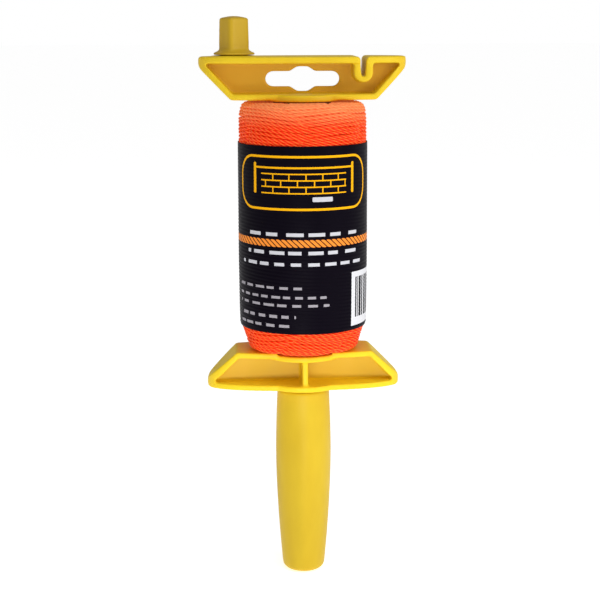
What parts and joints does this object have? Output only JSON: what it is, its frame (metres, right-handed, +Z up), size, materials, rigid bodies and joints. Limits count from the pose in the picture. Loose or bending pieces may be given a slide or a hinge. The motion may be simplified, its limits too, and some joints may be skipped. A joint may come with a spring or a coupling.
{
  "type": "mason's line reel",
  "caption": "Hand reel for twisted mason's line: hollow grip, turning reel frame, plug-in crossbar with hang slot, line notch and spinning crank knob.",
  "frame": {"origin": "centre of the grip's butt end, which is the lowest point, on the reel's turning axis", "axes": "+Z up the grip to the knob, along the turning axis; X along the crossbar with the knob on the -X side and the line notch on the +X side; -Y towards the side that faces the viewer"},
  "size_m": [0.0892, 0.0562, 0.2467],
  "materials": {
    "grip": "satin",
    "end_cap": "satin",
    "frame": "satin",
    "knob": "satin",
    "line": "satin",
    "label": "gloss",
    "core": "matte",
    "fastener": "satin"
  },
  "bodies": {
    "handle": {"handle_grip": "grip", "grip_end_cap": "end_cap", "spindle_screw": "fastener", "spindle_washer": "fastener"},
    "reel": {"reel_frame": "frame", "spool_core": "core", "line_winding": "line", "label_wrap": "label"},
    "crossbar": {"crossbar": "frame"},
    "knob": {"crank_knob": "knob"}
  },
  "joints": [
    {"name": "reel_spin", "type": "hinge", "parent": "handle", "child": "reel", "pos_m": [0, 0, 0.0837], "axis": [0, 0, 1], "continuous": true},
    {"name": "crossbar_pull", "type": "slide", "parent": "reel", "child": "crossbar", "axis": [0, 0, 1], "range_m": [0, 0.024]},
    {"name": "knob_spin", "type": "hinge", "parent": "crossbar", "child": "knob", "pos_m": [-0.0292, 0, 0.23045], "axis": [0, 0, 1], "continuous": true}
  ]
}
